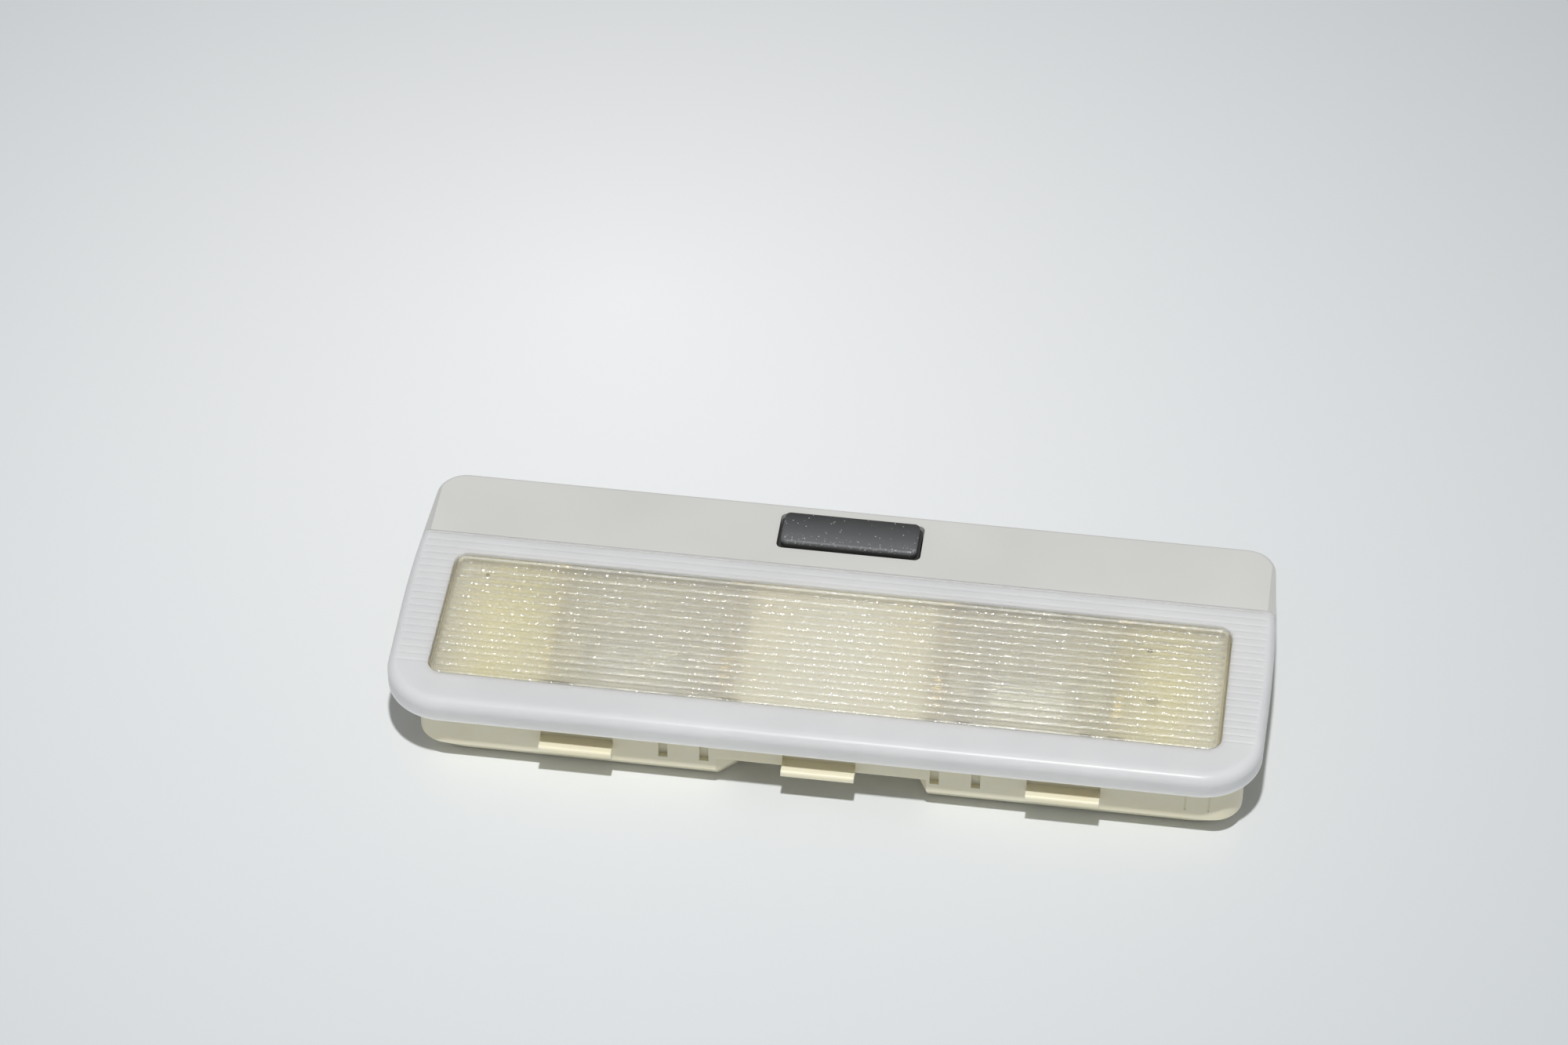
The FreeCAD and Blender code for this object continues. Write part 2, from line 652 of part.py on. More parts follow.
def base_walls(body):
    """Raise the tray, the tubs, the switch well and the connector shroud, and hollow them out."""
    tray = rectangle(BASE_LEFT, BASE_RIGHT, BASE_FRONT, BASE_REAR, "base_corner_radius")
    pad(body, "XY_Plane", "tray_height", [tray], f"{PLATE_UNDERSIDE} - tray_height")
    tubs = [tub_outline(side_name, "0", "0") for side_name in SIDES]
    pad(body, "XY_Plane", "tub_edge_height", tubs, "tray_height - tub_edge_height")
    for side_name, upper in zip(SIDES, tubs):
        lower = tub_outline(side_name, "0", "tub_slope_inset")
        loft(body, "AdditiveLoft", [("tub_edge_height", upper), ("0", lower)])
    well_ends = ("-base_shift - well_length / 2", "well_length / 2 - base_shift")
    well = rectangle(*well_ends, WELL_FRONT, BASE_REAR)
    pad(body, "XY_Plane", "well_bottom", [well], "tray_height - well_bottom")
    connector_half = "(connector_length / 2 + connector_wall)"
    shroud = rectangle(
        f"connector_position - {connector_half}",
        f"connector_position + {connector_half}",
        f"{CONNECTOR_FRONT} - connector_wall",
        f"{CONNECTOR_REAR} + connector_wall",
    )
    pad(body, "XY_Plane", "connector_lift", [shroud], "tray_height - connector_lift")
    hollow = rectangle(
        f"{BASE_LEFT} + base_wall",
        f"{BASE_RIGHT} - base_wall",
        INNER_FRONT,
        INNER_REAR,
        "base_corner_radius - base_wall",
    )
    cut(body, "XY_Plane", PLATE_UNDERSIDE, [hollow], f"{PLATE_UNDERSIDE} - {TRAY_TOP}")
    # Rebate in the tops of the end walls, where the window's flange passes
    passing = f"{FLANGE_HALF_LENGTH} + flange_clearance"
    least = "rebate_depth - base_wall"
    rebate = rectangle(
        f"-max({passing} + base_shift; {BASE_REACH['left']} + {least})",
        f"max({passing} - base_shift; {BASE_REACH['right']} + {least})",
        f"{WINDOW_FRONT} - window_flange_width - flange_clearance",
        f"{WINDOW_REAR} + window_flange_width + flange_clearance",
    )
    cut(body, "XY_Plane", PLATE_UNDERSIDE, [rebate], "window_flange_height + flange_clearance")
    hollows = [tub_outline(side_name, "base_wall", "0") for side_name in SIDES]
    cut(body, "XY_Plane", TRAY_TOP, hollows, f"{TRAY_TOP} - tub_edge_height")
    for side_name, upper in zip(SIDES, hollows):
        lower = tub_outline(side_name, "base_wall", INNER_SLOPE)
        loft(body, "SubtractiveLoft", [("tub_edge_height", upper), ("tub_floor", lower)])
    hollow_ends = (f"{well_ends[0]} + base_wall", f"{well_ends[1]} - base_wall")
    well_hollow = rectangle(*hollow_ends, f"{WELL_FRONT} + base_wall", INNER_REAR)
    cut(body, "XY_Plane", TRAY_TOP, [well_hollow], f"{TRAY_TOP} - {WELL_FLOOR}")
    socket = rectangle(
        "connector_position - connector_length / 2",
        "connector_position + connector_length / 2",
        CONNECTOR_FRONT,
        CONNECTOR_REAR,
    )
    cut(body, "XY_Plane", "connector_lift", [socket], "tray_height - connector_lift", back=True)


def base_front_wall(body):
    """Add the hooks with their recesses, the slots beside the snaps and two fine seams."""
    hook_foot = "(hook_height - hook_thickness)"
    hook_front = f"({BASE_FRONT} - hook_reach)"
    hook = [
        (BASE_FRONT, hook_foot),
        (BASE_FRONT, "hook_height"),
        (hook_front, "hook_height", "hook_nose_radius"),
        (hook_front, hook_foot, "hook_nose_radius / 2"),
    ]
    feature = pad(body, "YZ_Plane", "-hook_spacing - hook_length / 2", [hook], "hook_length")
    repeat(body, feature, "X_Axis", "hook_spacing", "2")
    recesses = []
    for place in (-1, 0, 1):
        ends = (f"{place} * hook_spacing - hook_length / 2", f"{place} * hook_spacing + hook_length / 2")
        recesses.append(rectangle(*ends, "hook_height", "hook_height + hook_recess_height"))
    cut(body, "XZ_Plane", f"-{BASE_FRONT}", recesses, "hook_recess_depth")
    slots = []
    for side in SIDES.values():
        for position in ("slot_inner_position", "slot_outer_position"):
            ends = (f"{side} * {position} - slot_width / 2", f"{side} * {position} + slot_width / 2")
            slots.append(rectangle(*ends, "slot_bottom", PLATE_UNDERSIDE))
    cut(body, "XZ_Plane", f"-{BASE_FRONT}", slots, "slot_depth")
    seams = [
        rectangle(start, f"{start} + seam_width", "slot_bottom", PLATE_UNDERSIDE)
        for start in (f"{BASE_RIGHT} - seam_position", f"{BASE_RIGHT} - seam_position + seam_spacing")
    ]
    cut(body, "XZ_Plane", f"-{BASE_FRONT}", seams, "seam_depth")


def base_inside(body):
    """Add the partition, the contact holders and the notches and slots for the metal parts."""
    partition_ends = (f"{BASE_LEFT} + base_wall / 2", f"{BASE_RIGHT} - base_wall / 2")
    partition = rectangle(*partition_ends, PARTITION_FRONT, PARTITION_REAR)
    pad(body, "XY_Plane", TRAY_TOP, [partition], f"{LEDGE_BOTTOM} - {TRAY_TOP}")
    holders = []
    seats = []
    notches = []
    holder_ends = (f"{BULB_Y} - holder_length / 2", f"{BULB_Y} + holder_length / 2")
    for side_name, end_name in CONTACTS:
        low, high = contact_place(SIDES[side_name], ENDS[end_name])
        middle = f"({low} + sheet_thickness / 2)"
        holders.append(
            rectangle(f"{middle} - holder_width / 2", f"{middle} + holder_width / 2", *holder_ends)
        )
        seats.append(rectangle(f"{low} - holder_clearance", f"{high} + holder_clearance", *holder_ends))
        notches.append(
            rectangle(
                f"{low} - notch_clearance", f"{high} + notch_clearance", PARTITION_FRONT, PARTITION_REAR
            )
        )
    pad(body, "XY_Plane", "tub_floor", holders, "holder_height")
    cut(body, "XY_Plane", "tub_floor + holder_height", seats, "holder_height")
    cut(body, "XY_Plane", LEDGE_BOTTOM, notches, f"{LEDGE_BOTTOM} - {ARM_BOTTOM} + notch_clearance")
    blade_slots = []
    half_width = "(blade_width / 2 + blade_clearance)"
    half_depth = "(sheet_thickness / 2 + blade_clearance)"
    for x, y in BLADES.values():
        slot_ends = (f"{x} - {half_width}", f"{x} + {half_width}")
        blade_slots.append(rectangle(*slot_ends, f"{y} - {half_depth}", f"{y} + {half_depth}"))
    cut(body, "XY_Plane", TRAY_TOP, blade_slots, "tray_floor")


def base_lugs(body):
    """Add lugs on the front and rear walls, which hold the lens and the panel."""
    lugs = [
        [(wall, LUG_TOP), (wall, LUG_BOTTOM), (f"{wall} + {way} * lug_reach", LUG_BOTTOM)]
        for way, wall in ((-1, BASE_FRONT), (1, BASE_REAR))
    ]
    for middle in snap_places():
        pad(body, "YZ_Plane", f"{middle} - lug_length / 2", lugs, "lug_length")


def base_rear_wall(body):
    """Make room for the panel's collar and add the pegs of the retaining clips."""
    gap = f"({OPENING_HALF_LENGTH} + collar_wall + opening_clearance)"
    middle = "(button_shift - base_shift)"
    relief = rectangle(f"{middle} - {gap}", f"{middle} + {gap}", INNER_REAR, BASE_REAR)
    cut(body, "XY_Plane", PLATE_UNDERSIDE, [relief], "collar_drop + opening_clearance")
    pegs = [(f"{side} * hook_spacing", "peg_height", "peg_diameter / 2") for side in SIDES.values()]
    pad(body, "XZ_Plane", f"-{BASE_REAR}", pegs, "peg_length", back=True)


def base_housing():
    body = new_body("base_housing", x="base_shift")
    base_walls(body)
    base_inside(body)
    base_front_wall(body)
    base_rear_wall(body)
    base_lugs(body)


def bulb(side_name):
    """Make one festoon bulb: its glass, its two caps and its filament."""
    side = SIDES[side_name]
    place = (f"base_shift + {side} * bulb_position", BULB_Y, "bulb_height")
    end = "glass_length / 2"
    shoulder = f"({end} - neck_length)"
    barrel = f"({shoulder} - shoulder_length)"
    outer = "glass_diameter / 2"
    neck = "neck_diameter / 2"
    bend = "shoulder_length / 2"
    glass = new_body(f"bulb_glass_{side_name}", *place)
    revolve(
        glass,
        [
            (f"-{end}", neck),
            (f"-{shoulder}", neck, bend),
            (f"-{barrel}", outer, bend),
            (barrel, outer, bend),
            (shoulder, neck, bend),
            (end, neck),
            (end, f"{neck} - glass_wall"),
            (shoulder, f"{neck} - glass_wall", bend),
            (barrel, f"{outer} - glass_wall", bend),
            (f"-{barrel}", f"{outer} - glass_wall", bend),
            (f"-{shoulder}", f"{neck} - glass_wall", bend),
            (f"-{end}", f"{neck} - glass_wall"),
        ],
    )
    tip = "bulb_length / 2"
    cone = f"({tip} - cap_cone_length)"
    mouth = f"({end} - cap_grip)"
    bore = f"({CAP_RADIUS} - cap_wall)"
    for end_name, end_way in ENDS.items():
        way = end_way * side
        cap = new_body(f"bulb_cap_{side_name}_{end_name}", *place)
        revolve(
            cap,
            [
                (f"{way} * {mouth}", bore),
                (f"{way} * {mouth}", CAP_RADIUS),
                (f"{way} * {cone}", CAP_RADIUS),
                (f"{way} * {tip}", "cap_tip_diameter / 2"),
                (f"{way} * {tip}", "0"),
                (f"{way} * ({tip} - cap_end_wall)", "0"),
                (f"{way} * ({tip} - cap_end_wall)", "cap_tip_diameter / 2"),
                (f"{way} * {cone}", bore),
            ],
        )
    filament = new_body(f"bulb_filament_{side_name}", *place)
    lead = f"({tip} - cap_end_wall)"
    coil = "filament_coil_length / 2"
    revolve(
        filament,
        [
            (f"-{lead}", "0"),
            (lead, "0"),
            (lead, "filament_wire / 2"),
            (coil, "filament_wire / 2"),
            (coil, "filament_coil / 2"),
            (f"-{coil}", "filament_coil / 2"),
            (f"-{coil}", "filament_wire / 2"),
            (f"-{lead}", "filament_wire / 2"),
        ],
    )


def bulb_contact(side_name, end_name):
    """Make an upright contact plate whose arm reaches back to its busbar."""
    body = new_body(f"bulb_contact_{side_name}_{end_name}", x="base_shift")
    low, _ = contact_place(SIDES[side_name], ENDS[end_name])
    front = f"({BULB_Y} - contact_width / 2)"
    rear = f"({BULB_Y} + contact_width / 2)"
    foot = SUPPLY_Y if end_name == "outer" else EARTH_Y
    plate = [
        (front, "tub_floor"),
        (rear, "tub_floor"),
        (rear, ARM_BOTTOM),
        (foot, ARM_BOTTOM),
        (foot, STRIP_TOP),
        (f"{foot} + strip_width", STRIP_TOP),
        (f"{foot} + strip_width", ARM_TOP),
        (front, ARM_TOP, "contact_corner_radius"),
    ]
    taper = "(contact_grip / cap_cone_length)"
    cone_radius = f"(cap_tip_diameter / 2 + ({CAP_RADIUS} - cap_tip_diameter / 2) * {taper})"
    hole = (BULB_Y, "bulb_height", f"{cone_radius} + contact_seat_gap")
    pad(body, "YZ_Plane", low, [plate, hole], "sheet_thickness")


def reflector(side_name):
    """Make a bent sheet trough under a bulb, with slots for the contact holders."""
    side = SIDES[side_name]
    body = new_body(f"reflector_{side_name}", x=f"base_shift + {side} * bulb_position")
    front = f"({INNER_FRONT} + {INNER_SLOPE} + reflector_clearance)"
    rear = f"({PARTITION_FRONT} - {INNER_SLOPE} - reflector_clearance)"
    front_top = f"({INNER_FRONT} + reflector_clearance)"
    rear_top = f"({PARTITION_FRONT} - reflector_clearance)"
    floor = "tub_floor"
    rise = "(tub_floor + sheet_thickness)"
    top = "(tub_floor + reflector_height)"
    outer_bend = "reflector_bend_radius"
    inner_bend = "(reflector_bend_radius - sheet_thickness)"
    trough = [
        (front, floor, outer_bend),
        (rear, floor, outer_bend),
        (rear_top, top),
        (f"{rear_top} - sheet_thickness", top),
        (f"{rear} - sheet_thickness", rise, inner_bend),
        (f"{front} + sheet_thickness", rise, inner_bend),
        (f"{front_top} + sheet_thickness", top),
        (front_top, top),
    ]
    pad(body, "YZ_Plane", "-reflector_length / 2", [trough], "reflector_length")
    room = "(holder_width / 2 + notch_clearance)"
    slot_ends = (
        f"{BULB_Y} - holder_length / 2 - notch_clearance",
        f"{BULB_Y} + holder_length / 2 + notch_clearance",
    )
    slots = []
    for way in ENDS.values():
        middle = f"({way} * (bulb_length / 2 - contact_grip + sheet_thickness / 2))"
        slots.append(rectangle(f"{middle} - {room}", f"{middle} + {room}", *slot_ends))
    cut(body, "XY_Plane", rise, slots, "sheet_thickness")
    # Corner beside the slanted corner of the tub
    corner_x = "(tub_gap / 2 + base_wall - bulb_position)"
    room = f"({INNER_SLOPE} + 2 * reflector_clearance)"
    corner = [
        (f"{side} * {corner_x}", INNER_FRONT),
        (f"{side} * ({corner_x} + {side_name}_corner_reach + {room})", INNER_FRONT),
        (f"{side} * {corner_x}", f"{INNER_FRONT} + {side_name}_corner_depth + {room}"),
    ]
    cut(body, "XY_Plane", top, [corner], "reflector_height")


def blade(body, name):
    """Add a blade that turns down from a strip through the floor into the connector."""
    x, y = BLADES[name]
    section = rectangle(
        f"{x} - blade_width / 2",
        f"{x} + blade_width / 2",
        f"{y} - sheet_thickness / 2",
        f"{y} + sheet_thickness / 2",
    )
    height = "(blade_length + sheet_thickness)"
    pad(body, "XY_Plane", f"{STRIP_TOP} - {height}", [section], height)


def supply_strip():
    body = new_body("supply_strip", x="base_shift")
    reach = "(bulb_position + bulb_length / 2 - contact_grip + sheet_thickness)"
    strip = rectangle(f"-{reach}", reach, SUPPLY_Y, f"{SUPPLY_Y} + strip_width")
    pad(body, "XY_Plane", TRAY_TOP, [strip], "sheet_thickness")
    blade(body, "supply")


def earth_strip():
    body = new_body("earth_strip", x="base_shift")
    start = "(bulb_position - bulb_length / 2 + contact_grip)"
    strip = rectangle(
        f"-{start}", "connector_position + blade_width / 2", EARTH_Y, f"{EARTH_Y} + strip_width"
    )
    pad(body, "XY_Plane", TRAY_TOP, [strip], "sheet_thickness")
    blade(body, "earth")


def switch_contacts():
    """Make the two fixed contacts, one on the earth strip and one with the signal blade."""
    half_width = "contact_strip_width / 2"
    rear = f"({STEM_Y} + contact_strip_length / 2)"
    earth_x = "(-contact_position - base_shift)"
    signal_x = "(contact_position - base_shift)"
    earth = new_body("switch_contact_earth", x="base_shift")
    strip_front = f"{EARTH_Y} + strip_width"
    strip = rectangle(f"{earth_x} - {half_width}", f"{earth_x} + {half_width}", strip_front, rear)
    pad(earth, "XY_Plane", TRAY_TOP, [strip], "sheet_thickness")
    signal = new_body("switch_contact_signal", x="base_shift")
    foot_front = f"{STEM_Y} - {half_width}"
    foot = rectangle(f"{signal_x} - {half_width}", f"{signal_x} + {half_width}", foot_front, rear)
    pad(signal, "XY_Plane", TRAY_TOP, [foot], "sheet_thickness")
    x, y = BLADES["signal"]
    arm = rectangle(signal_x, f"{x} + blade_width / 2", f"{y} - strip_width / 2", f"{y} + strip_width / 2")
    pad(signal, "XY_Plane", TRAY_TOP, [arm], "sheet_thickness")
    blade(signal, "signal")
    for body, place in ((earth, earth_x), (signal, signal_x)):
        button = (place, STEM_Y, "contact_pad_diameter / 2")
        pad(body, "XY_Plane", STRIP_TOP, [button], CONTACT_LIFT)


def switch_carrier():
    body = new_body("switch_carrier")
    half_length = "(well_length / 2 - base_wall - carrier_clearance)"
    block = rectangle(
        f"-{half_length}",
        half_length,
        f"{WELL_FRONT} + base_wall + carrier_clearance",
        f"{INNER_REAR} - carrier_clearance",
        "carrier_corner_radius",
    )
    pad(body, "XY_Plane", WELL_FLOOR, [block], f"{TRAY_TOP} - {WELL_FLOOR}")
    pocket_radius = "spring_diameter / 2 + spring_wire / 2 + spring_pocket_clearance"
    cut(body, "XY_Plane", TRAY_TOP, [("0", STEM_Y, pocket_radius)], "spring_pocket_depth")
    bore_radius = "stem_diameter / 2 + stem_clearance"
    cut(body, "XY_Plane", TRAY_TOP, [("0", STEM_Y, bore_radius)], f"{TRAY_TOP} - {WELL_FLOOR}")


def switch_button():
    body = new_body("switch_button", x="button_shift", y=BUTTON_Y)
    lip = rectangle(
        "-button_length / 2 - skirt_lip",
        "button_length / 2 + skirt_lip",
        "-button_depth / 2 - skirt_lip_side",
        "button_depth / 2 + skirt_lip_side",
        "button_corner_radius",
    )
    pad(body, "XY_Plane", SKIRT_BOTTOM, [lip], "skirt_lip_height")
    cap_ends = ("-button_length / 2", "button_length / 2")
    cap = rectangle(*cap_ends, "-button_depth / 2", "button_depth / 2", "button_corner_radius")
    pad(body, "XY_Plane", SKIRT_TOP, [cap], f"{BUTTON_TOP} - {SKIRT_TOP}")
    # Crowned top, cut across the button by a wide arc
    crown_edge = f"({BUTTON_TOP} - button_crown)"
    crown = [
        ("-button_depth / 2", crown_edge),
        ("0", f"{BUTTON_TOP} + button_crown", "button_crown_radius"),
        ("button_depth / 2", crown_edge),
        ("button_depth / 2", f"{BUTTON_TOP} + button_rise"),
        ("-button_depth / 2", f"{BUTTON_TOP} + button_rise"),
    ]
    cut(body, "YZ_Plane", "button_length", [crown], "2 * button_length")
    edge_height = number(crown_edge)
    round_edges(body, "button_edge_radius", lambda edge: edge.BoundBox.ZMin > edge_height - EDGE_TOLERANCE)
    hollow = rectangle(
        "button_wall - button_length / 2",
        "button_length / 2 - button_wall",
        "button_wall - button_depth / 2",
        "button_depth / 2 - button_wall",
    )
    roof = f"({BUTTON_TOP} - button_roof)"
    cut(body, "XY_Plane", SKIRT_BOTTOM, [hollow], f"{roof} - {SKIRT_BOTTOM}", back=True)
    stem_x = "(-button_shift)"
    stem_y = "(stem_setback - button_position)"
    plunger = rectangle(
        f"{stem_x} - plunger_length / 2",
        f"{stem_x} + plunger_length / 2",
        f"{stem_y} - plunger_depth / 2",
        f"{stem_y} + plunger_depth / 2",
    )
    pad(body, "XY_Plane", PLUNGER_BOTTOM, [plunger], f"{roof} - {PLUNGER_BOTTOM}")
    stem = (stem_x, stem_y, "stem_diameter / 2")
    pad(body, "XY_Plane", PLUNGER_BOTTOM, [stem], "stem_length", back=True)
    # Latch legs at both ends, whose hooks stop the button under the panel's collar
    latch_top = f"({COLLAR_BOTTOM} - latch_gap)"
    latch_bottom = f"({latch_top} - latch_height)"
    root = "(button_length / 2)"
    face = "(button_length / 2 + skirt_lip)"
    tip = f"({OPENING_HALF_LENGTH} + latch_reach)"
    latches = [
        [
            (f"{side} * {root}", SKIRT_BOTTOM),
            (f"{side} * {root}", latch_bottom),
            (f"{side} * {face}", latch_bottom),
            (f"{side} * {tip}", latch_top),
            (f"{side} * {face}", latch_top),
            (f"{side} * {face}", SKIRT_BOTTOM),
        ]
        for side in SIDES.values()
    ]
    pad(body, "XZ_Plane", "-latch_width / 2", latches, "latch_width")


def contact_bridge():
    body = new_body("contact_bridge", y=STEM_Y)
    strip = rectangle("-bridge_length / 2", "bridge_length / 2", "-bridge_width / 2", "bridge_width / 2")
    hole = ("0", "0", "stem_diameter / 2 + stem_clearance")
    pad(body, "XY_Plane", BRIDGE_BOTTOM, [strip, hole], "bridge_thickness")


def button_spring():
    """Make the coil spring between the carrier and the contact bridge."""
    body = new_body("button_spring", y=STEM_Y)
    wire = ("spring_diameter / 2", f"{SPRING_SEAT} + spring_wire / 2", "spring_wire / 2")
    coil = body.newObject("PartDesign::AdditiveHelix", "AdditiveHelix")
    coil.Profile = profile(body, "XZ_Plane", "0", wire)
    coil.ReferenceAxis = (coil.Profile[0], ["V_Axis"])
    coil.Mode = "height-turns-angle"
    coil.setExpression("Height", bound(f"{BRIDGE_BOTTOM} - {SPRING_SEAT} - spring_wire"))
    coil.setExpression("Turns", bound("spring_turns"))
    doc.recompute()


def retaining_clip(side_name):
    """Make a folded leaf clip that stands on the rear wall over its peg."""
    side = SIDES[side_name]
    body = new_body(f"retaining_clip_{side_name}", x=f"base_shift + {side} * hook_spacing", y=BASE_REAR)
    leaf = "sheet_thickness"
    tip = "(clip_top - clip_tip_drop)"
    section = [
        ("0", "clip_top"),
        ("0", "clip_bottom"),
        ("clip_foot", "clip_bottom"),
        ("clip_reach", "clip_crest", "clip_bend_radius"),
        ("clip_tip_reach", tip),
        (f"clip_tip_reach - {leaf}", f"{tip} - {leaf} / 2"),
        (f"clip_reach - {leaf}", "clip_crest", "clip_inner_bend_radius"),
        (f"clip_foot - {leaf} / 2", f"clip_bottom + {leaf}"),
        (leaf, f"clip_bottom + {leaf}"),
        (leaf, "clip_top"),
    ]
    pad(body, "YZ_Plane", "-clip_width / 2", [section], "clip_width")
    hole = ("0", "peg_height", "peg_diameter / 2 + peg_clearance")
    cut(body, "XZ_Plane", "0", [hole], leaf)


base_housing()
switch_panel()
lens_frame()
lens_window()
switch_button()
contact_bridge()
button_spring()
switch_carrier()
switch_contacts()
supply_strip()
earth_strip()
for side_name in SIDES:
    bulb(side_name)
    reflector(side_name)
    retaining_clip(side_name)
for side_name, end_name in CONTACTS:
    bulb_contact(side_name, end_name)

doc.recompute()
for item in doc.Objects:
    if "Invalid" in item.State or "Error" in item.State:
        raise RuntimeError(f"{item.Label} failed: {item.State}")
bodies = [item for item in doc.Objects if item.TypeId == "PartDesign::Body"]
for body in bodies:
    if body.Shape.isNull() or not body.Shape.isValid() or not body.Shape.Solids:
        raise RuntimeError(f"{body.Label} has no valid solid")
os.makedirs("parts", exist_ok=True)
for body in bodies:
    body.Shape.exportStep(f"parts/{body.Label}.step")
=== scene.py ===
"""Looks of a car interior light that lies on a pale table, lens up.

Metres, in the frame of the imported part: X along the lamp, -Y the lens edge, +Z out of the lens.
"""
import bpy
import json
import math
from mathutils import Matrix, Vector, noise


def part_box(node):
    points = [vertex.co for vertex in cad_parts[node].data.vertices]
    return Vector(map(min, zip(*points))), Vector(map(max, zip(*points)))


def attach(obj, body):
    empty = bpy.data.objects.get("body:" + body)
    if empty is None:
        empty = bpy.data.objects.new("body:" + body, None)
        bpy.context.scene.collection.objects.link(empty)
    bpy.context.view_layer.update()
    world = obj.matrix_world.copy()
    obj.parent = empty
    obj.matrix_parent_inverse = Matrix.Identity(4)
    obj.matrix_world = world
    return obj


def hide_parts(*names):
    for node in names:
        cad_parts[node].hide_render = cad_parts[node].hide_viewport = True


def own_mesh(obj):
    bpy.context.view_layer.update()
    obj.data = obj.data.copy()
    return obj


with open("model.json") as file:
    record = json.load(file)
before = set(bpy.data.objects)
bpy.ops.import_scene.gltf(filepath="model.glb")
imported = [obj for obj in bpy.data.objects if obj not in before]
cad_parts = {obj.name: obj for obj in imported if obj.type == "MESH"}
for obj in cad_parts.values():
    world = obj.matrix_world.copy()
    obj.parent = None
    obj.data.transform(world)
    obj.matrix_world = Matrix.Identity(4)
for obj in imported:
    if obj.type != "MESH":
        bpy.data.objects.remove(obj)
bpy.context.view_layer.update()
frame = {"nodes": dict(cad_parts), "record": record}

MM = 0.001
NODES = frame["nodes"]

# Camera, found from the photograph: where it stands and the way back from what it looks at
CAMERA_PLACE = Vector((0.08481, -0.68413, 0.71867))
CAMERA_BACK = Vector((0.09837, -0.70890, 0.69842))
CAMERA_LENS = 117.0
CAMERA_SENSOR = 36.0

# Light: a lamp above the table, tilted to the front, in a pale room
KEY_WAY = Vector((0.04, -0.385, 1.0))
KEY_DISTANCE = 1.2
KEY_SIZE = 0.05
KEY_POWER = 11.0
ROOM_STRENGTH = 0.26
ROOM_COLOUR = (0.96, 0.98, 1.0, 1.0)

# Table: a pool of light painted into its colour, brightest at its middle as the photograph shows it, and
# how far the painted light reaches
TABLE_SIZE = 6.0
TABLE_PAINTED_LIGHT_PLACE = Vector((-0.059, 0.108, 0.0))
TABLE_PAINTED_LIGHT_REACH = 0.35
TABLE_PAINTED_LIGHT_COLOUR = (0.965, 0.975, 0.98, 1.0)
TABLE_EDGE = (0.525, 0.557, 0.572, 1.0)

# Ribbed window: pitch of the ribs, their height, and the pebbles on them
RIB_PITCH = 1.84 * MM
RIB_START = 14.1 * MM
RIB_HEIGHT = 0.32 * MM
RIB_STEPS = 12
PEBBLE_SIZE = 0.62 * MM
PEBBLE_HEIGHT = 0.03 * MM
PEBBLE_STEP = 0.42 * MM
PANE_HEIGHT = 1.7 * MM
BEAD_PLACE = 0.55 * MM
BEAD_WIDTH = 0.4 * MM
BEAD_HEIGHT = 0.2 * MM
RIB_FADE_START = 0.9 * MM
RIB_FADE_END = 1.5 * MM
WINDOW_CORNER = 2.7 * MM
FLANGE_HEIGHT = 0.8 * MM
FLANGE_END = 1.0 * MM
FLANGE_SIDE = 1.3 * MM

# Edges of the window: a highlight painted as a pale line on its rear bead, and shade of the gap to the
# frame painted as an olive line along its rear edge and ends
PAINTED_BEAD_HIGHLIGHT_START = 0.9 * MM
PAINTED_BEAD_HIGHLIGHT_END = 0.5 * MM
GAP_SHADE_WIDTH = 0.45 * MM
EDGE_BLUR = 0.1 * MM
PAINTED_BEAD_HIGHLIGHT_COLOUR = (1.0, 1.0, 1.0, 1.0)
GAP_SHADE_COLOUR = (0.5, 0.47, 0.37, 1.0)

# Tones painted into the window along its length, standing in for the light and shade of what shows
# through it: place and colour of its left half
PAINTED_SHOW_THROUGH_TONES = (
    (-74 * MM, (0.86, 0.845, 0.75)),
    (-66 * MM, (0.90, 0.86, 0.63)),
    (-57 * MM, (0.89, 0.855, 0.645)),
    (-43 * MM, (0.955, 0.92, 0.79)),
    (-26 * MM, (0.955, 0.92, 0.80)),
    (-15 * MM, (0.965, 0.94, 0.845)),
    (-4 * MM, (0.985, 0.975, 0.935)),
)

# Haze of the window, glints painted as pale flecks on its pebbles, and the tint of the light that passes
# it
HAZE_COLOUR = (0.9, 0.89, 0.85, 1.0)
PAINTED_GLINT_COLOUR = (1.0, 1.0, 0.98, 1.0)
WINDOW_TINT = (0.88, 0.875, 0.83, 1.0)

# Dark marks on the window, in millimetres: place along X and Y, reach along X and Y, and how much it
# covers. The first four are specks of dirt; the others are streaks that darken the window along its
# front edge. A mark is full inside half of its reach, and it reaches through the pane.
DARK_MARKS = (
    (-68.9, 4.1, 0.6, 0.6, 0.8),
    (60.6, 1.2, 0.8, 0.7, 0.8),
    (62.2, -12.1, 1.9, 1.6, 0.4),
    (43.8, 8.2, 2.6, 0.9, 0.35),
    (-50.9, -22.7, 4.6, 0.5, 0.8),
    (-27.3, -22.8, 4.2, 0.45, 0.4),
    (-17.4, -22.7, 3.0, 0.5, 0.7),
    (21.2, -22.8, 2.1, 0.45, 0.7),
    (27.3, -22.7, 2.1, 0.45, 0.6),
    (50.4, -22.7, 1.8, 0.45, 0.7),
    (56.0, -22.7, 2.3, 0.45, 0.7),
)
DARK_MARK_FULL = 0.5
DARK_MARK_DEPTH = 5.0
DARK_MARK_COLOUR = (0.16, 0.14, 0.12, 1.0)

